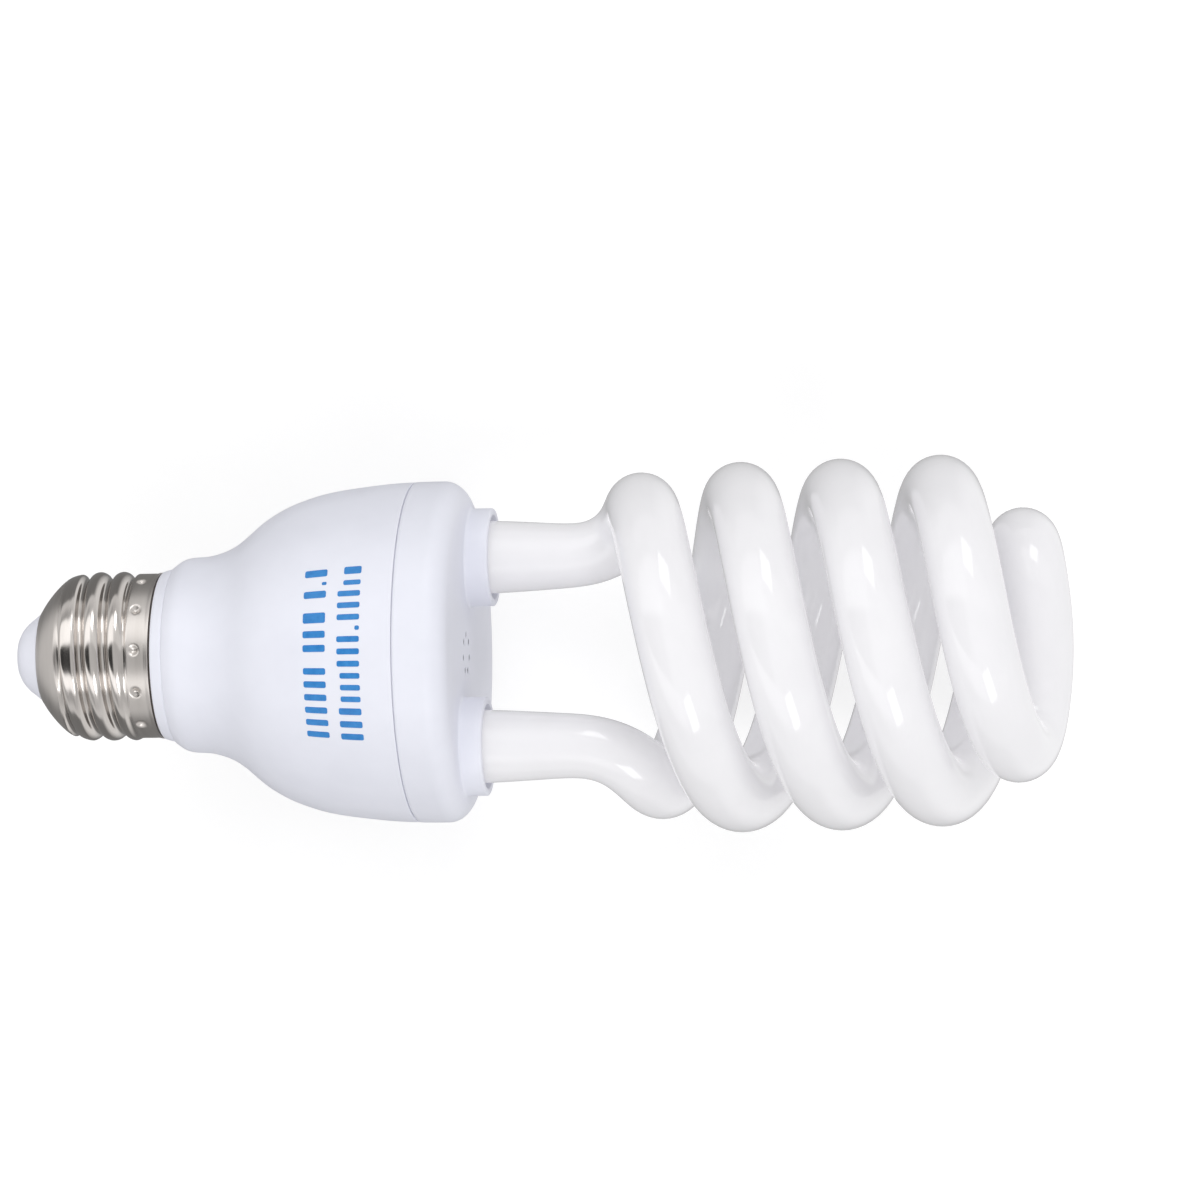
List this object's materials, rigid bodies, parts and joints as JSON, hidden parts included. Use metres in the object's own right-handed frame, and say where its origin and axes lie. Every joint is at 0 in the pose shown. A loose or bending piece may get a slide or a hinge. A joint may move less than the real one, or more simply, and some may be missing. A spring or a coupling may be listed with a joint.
{
  "type": "reptile uvb bulb",
  "caption": "Spiral fluorescent reptile lamp: a coiled white glass tube on a bell-shaped ballast housing with a standard screw cap.",
  "frame": {"origin": "centre of the outer face of the centre contact, on the lamp's axis", "axes": "+X along the lamp's axis from the cap to the coil; +Z is the side that faces the viewer of the picture when the lamp lies down, and +Y is the picture's up"},
  "size_m": [0.1631, 0.0573, 0.0568],
  "materials": {
    "nickel": "bright nickel plating",
    "contact_metal": "plated",
    "white_plastic": "satin moulded",
    "phosphor_glass": "glossy, opaque white coating inside",
    "cement": "matt",
    "board_laminate": "matt laminate",
    "can_sleeve": "sleeved can",
    "ferrite": "matt",
    "copper": "enamelled wire",
    "black_moulding": "matt",
    "dipped_red": "dipped",
    "dipped_green": "dipped",
    "resistor_body": "lacquered",
    "tinned_wire": "tinned",
    "wire_red": "insulated",
    "wire_black": "insulated"
  },
  "bodies": {
    "root": {"screw_shell": "nickel", "cap_insulator": "white_plastic", "centre_contact": "contact_metal", "lower_housing": "white_plastic", "upper_cover": "white_plastic", "glass_tube": "phosphor_glass", "tube_cement": "cement", "ballast_board": "board_laminate", "smoothing_capacitor": "can_sleeve", "choke_core": "ferrite", "choke_bobbin": "black_moulding", "choke_winding": "copper", "drive_ring_core": "ferrite", "drive_ring_windings": "copper", "switching_transistors": "black_moulding", "resonant_capacitor": "dipped_red", "film_capacitors": "dipped_green", "rectifier_diodes": "black_moulding", "resistors": "resistor_body", "trigger_diode": "dipped_red", "filter_core": "ferrite", "filter_winding": "copper", "wrap_posts": "tinned_wire", "filament_leads": "tinned_wire", "fusible_resistor": "resistor_body", "live_wire": "wire_red", "neutral_wire": "wire_black"}
  },
  "joints": []
}
